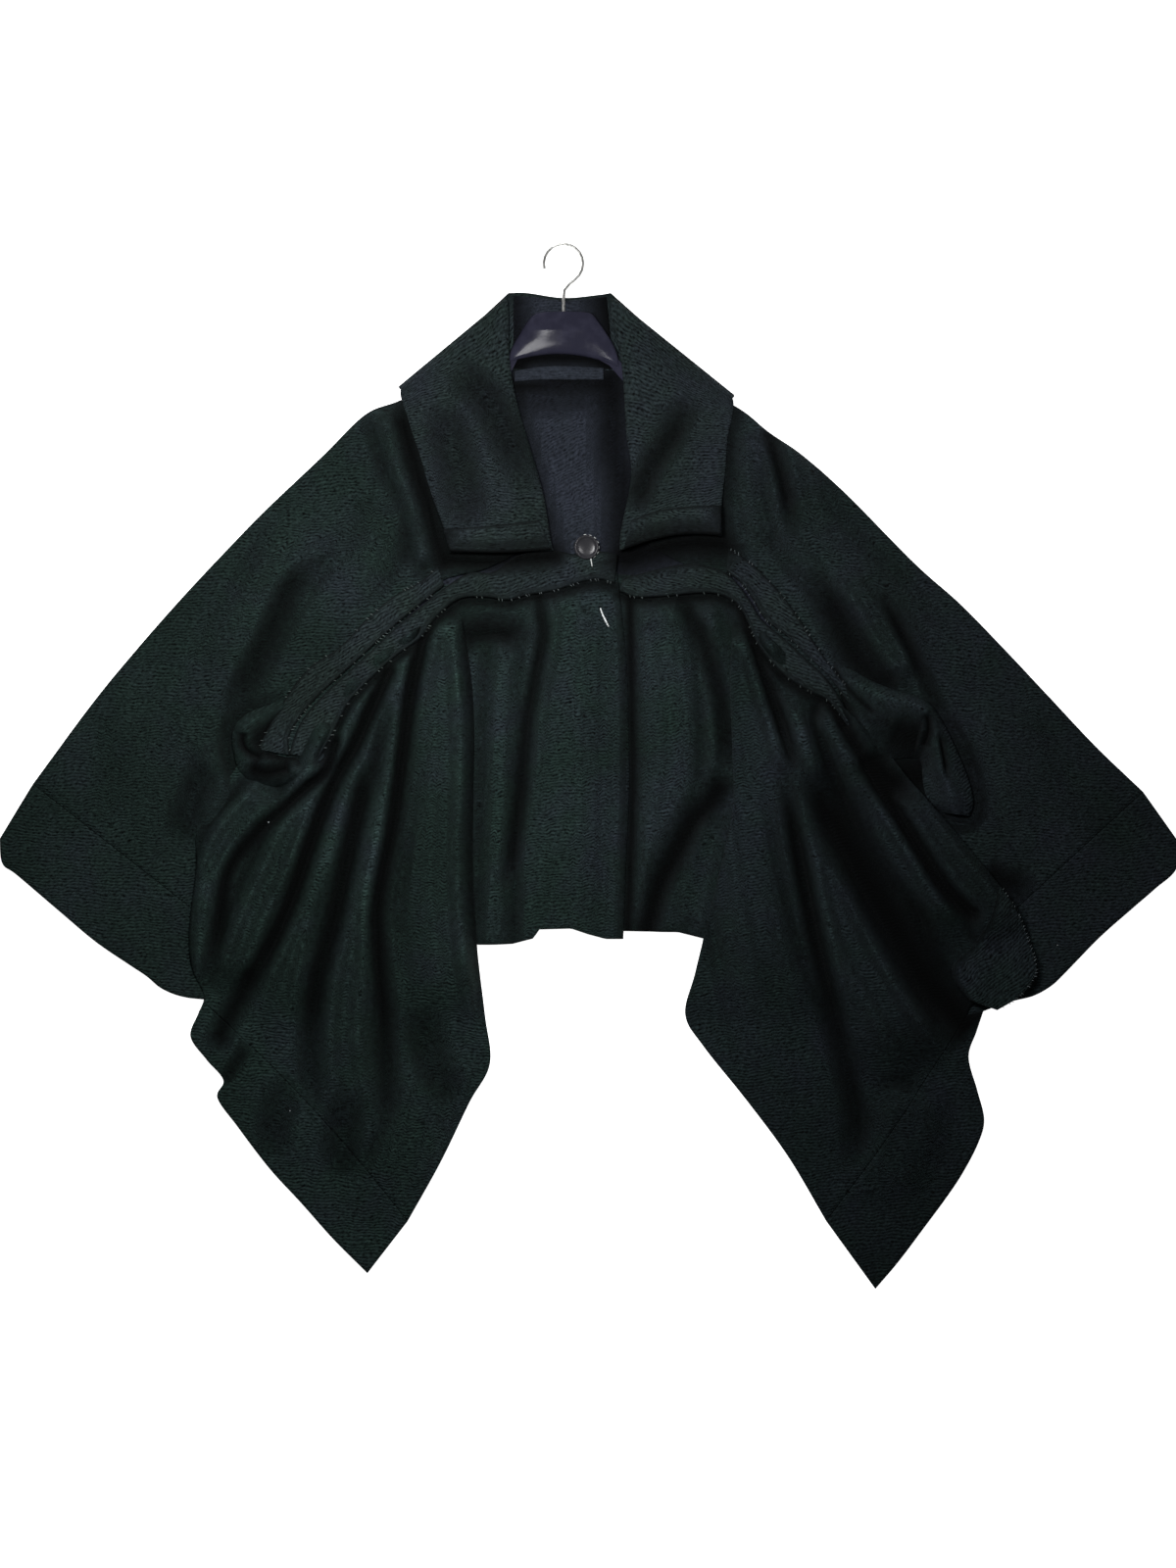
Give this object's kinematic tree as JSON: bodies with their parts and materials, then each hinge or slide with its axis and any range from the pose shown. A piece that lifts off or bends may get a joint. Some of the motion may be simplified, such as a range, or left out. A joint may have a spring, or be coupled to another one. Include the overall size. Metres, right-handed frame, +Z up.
{
  "type": "draped cape jacket on a hanger",
  "caption": "Short draped wool cape jacket laid flat, with wide wing sleeves, pointed front drapes, a deep collar, one button and a plain hanger.",
  "frame": {"origin": "centre of the bounding box's bottom face, on the surface that the cape lies on", "axes": "+X across the wings towards the wearer's left side, +Y from the hem tips towards the hanger's hook, +Z up out of the surface"},
  "size_m": [1.1996, 1.0654, 0.0386],
  "materials": {
    "wool": "near-black heavy wool knit, slightly fuzzy, matt",
    "wool_strip": "the same knit cut across, with paler overlocked edges",
    "button_plastic": "dark grey with a pale worn rim",
    "hanger_plastic": "black, glossy, moulded",
    "hook_wire": "bright steel wire"
  },
  "bodies": {
    "root": {"back": "wool", "wing_front_left": "wool", "wing_front_right": "wool", "cuff_band_left": "wool", "cuff_band_right": "wool", "centre_front_left": "wool", "centre_front_right": "wool", "drape_left": "wool", "drape_right": "wool", "drape_hem_left": "wool", "drape_hem_right": "wool", "turned_band_right": "wool", "yoke_lower_left": "wool_strip", "yoke_upper_left": "wool_strip", "yoke_lower_right": "wool_strip", "yoke_upper_right": "wool_strip", "slit_edge_left": "wool", "slit_edge_right": "wool", "collar": "wool", "collar_stand": "wool", "collar_end_left": "wool_strip", "collar_end_right": "wool_strip", "neck_tape": "wool_strip", "button": "button_plastic", "hanger": "hanger_plastic", "hanger_hook": "hook_wire"}
  },
  "joints": []
}
